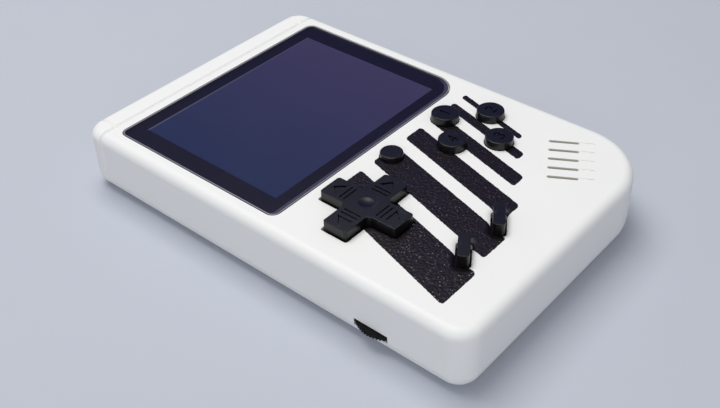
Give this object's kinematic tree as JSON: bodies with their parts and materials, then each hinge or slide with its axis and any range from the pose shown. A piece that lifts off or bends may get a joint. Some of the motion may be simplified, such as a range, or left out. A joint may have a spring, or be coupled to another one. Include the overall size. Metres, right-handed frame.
{
  "type": "handheld game console",
  "caption": "Upright handheld game console with a large screen, direction pad, face buttons, slanted bar buttons, speaker slots, volume wheel and battery door.",
  "frame": {"origin": "middle of the back, on the surface the console lies on", "axes": "+X to the player's right, +Y towards the screen end, +Z out of the face"},
  "size_m": [0.0824, 0.1194, 0.0198],
  "materials": {
    "case_white": "finely textured",
    "lens_clear": "polished",
    "border_dark": "printed film",
    "display_dark": "dark display, off",
    "backlight_white": "satin",
    "sheet_steel": "stamped sheet",
    "foam_grey": "foam",
    "cable_amber": "film",
    "connector_ivory": "moulded",
    "board_green": "coated board",
    "moulded_black": "moulded",
    "capacitor_blue": "sleeved can",
    "silicone_grey": "silicone",
    "control_black": "semi gloss",
    "cone_paper": "coated paper",
    "magnet_grey": "plated",
    "lead_red": "insulated wire",
    "pot_brown": "moulded",
    "battery_blue": "wrapped",
    "contact_gold": "plated spring",
    "screw_steel": "plated"
  },
  "bodies": {
    "console": {"front_shell": "case_white", "rear_shell": "case_white", "screen_lens": "lens_clear", "lens_border": "border_dark", "display_panel": "display_dark", "backlight_plate": "backlight_white", "display_frame": "sheet_steel", "speaker_frame": "sheet_steel", "charge_port": "sheet_steel", "crystal": "sheet_steel", "switch_body": "sheet_steel", "display_foam": "foam_grey", "speaker_gasket": "foam_grey", "display_cable": "cable_amber", "cable_connector": "connector_ivory", "main_board": "board_green", "main_chip": "moulded_black", "memory_chip": "moulded_black", "av_jack": "moulded_black", "capacitors": "capacitor_blue", "pad_mat": "silicone_grey", "button_mat": "silicone_grey", "bar_mat": "silicone_grey", "reset_mat": "silicone_grey", "speaker_cone": "cone_paper", "speaker_magnet": "magnet_grey", "speaker_leads": "lead_red", "volume_pot": "pot_brown", "battery": "battery_blue", "battery_contacts": "contact_gold", "shell_screws": "screw_steel", "board_screws": "screw_steel"},
    "body_pivot_ball": {"pivot_ball": "control_black"},
    "body_direction_pad": {"direction_pad": "control_black"},
    "body_top_button": {"top_button": "control_black"},
    "body_right_button": {"right_button": "control_black"},
    "body_bottom_button": {"bottom_button": "control_black"},
    "body_left_button": {"left_button": "control_black"},
    "body_reset_button": {"reset_button": "control_black"},
    "body_start_bar": {"start_bar": "control_black"},
    "body_select_bar": {"select_bar": "control_black"},
    "body_volume_wheel": {"volume_wheel": "control_black"},
    "body_switch_slider": {"switch_slider": "control_black"},
    "body_battery_door": {"battery_door": "case_white"}
  },
  "joints": [
    {"name": "pad_rock_up_down", "type": "hinge", "parent": "console", "child": "body_pivot_ball", "pos_m": [-0.02075, -0.0182, 0.01263], "axis": [1, 0, 0], "range_deg": [-4, 4], "stiffness_Nm_per_rad": 0.15},
    {"name": "pad_rock_left_right", "type": "hinge", "parent": "body_pivot_ball", "child": "body_direction_pad", "pos_m": [-0.02075, -0.0182, 0.01263], "axis": [0, 1, 0], "range_deg": [-4, 4], "stiffness_Nm_per_rad": 0.15},
    {"name": "top_button_press", "type": "slide", "parent": "console", "child": "body_top_button", "axis": [0, 0, -1], "range_m": [0, 0.001], "stiffness_N_per_m": 700},
    {"name": "right_button_press", "type": "slide", "parent": "console", "child": "body_right_button", "axis": [0, 0, -1], "range_m": [0, 0.001], "stiffness_N_per_m": 700},
    {"name": "bottom_button_press", "type": "slide", "parent": "console", "child": "body_bottom_button", "axis": [0, 0, -1], "range_m": [0, 0.001], "stiffness_N_per_m": 700},
    {"name": "left_button_press", "type": "slide", "parent": "console", "child": "body_left_button", "axis": [0, 0, -1], "range_m": [0, 0.001], "stiffness_N_per_m": 700},
    {"name": "reset_button_press", "type": "slide", "parent": "console", "child": "body_reset_button", "axis": [0, 0, -1], "range_m": [0, 0.001], "stiffness_N_per_m": 700},
    {"name": "start_bar_press", "type": "slide", "parent": "console", "child": "body_start_bar", "axis": [0, 0, -1], "range_m": [0, 0.001], "stiffness_N_per_m": 700},
    {"name": "select_bar_press", "type": "slide", "parent": "console", "child": "body_select_bar", "axis": [0, 0, -1], "range_m": [0, 0.001], "stiffness_N_per_m": 700},
    {"name": "volume_turn", "type": "hinge", "parent": "console", "child": "body_volume_wheel", "pos_m": [-0.0337, -0.0352, 0.00485], "axis": [0, 0, 1], "range_deg": [-140, 140]},
    {"name": "power_slide", "type": "slide", "parent": "console", "child": "body_switch_slider", "axis": [0, 1, 0], "range_m": [0, 0.0035]},
    {"name": "door_swing", "type": "hinge", "parent": "console", "child": "body_battery_door", "pos_m": [0, -0.0484, 0], "axis": [-1, 0, 0], "range_deg": [0, 75]}
  ]
}
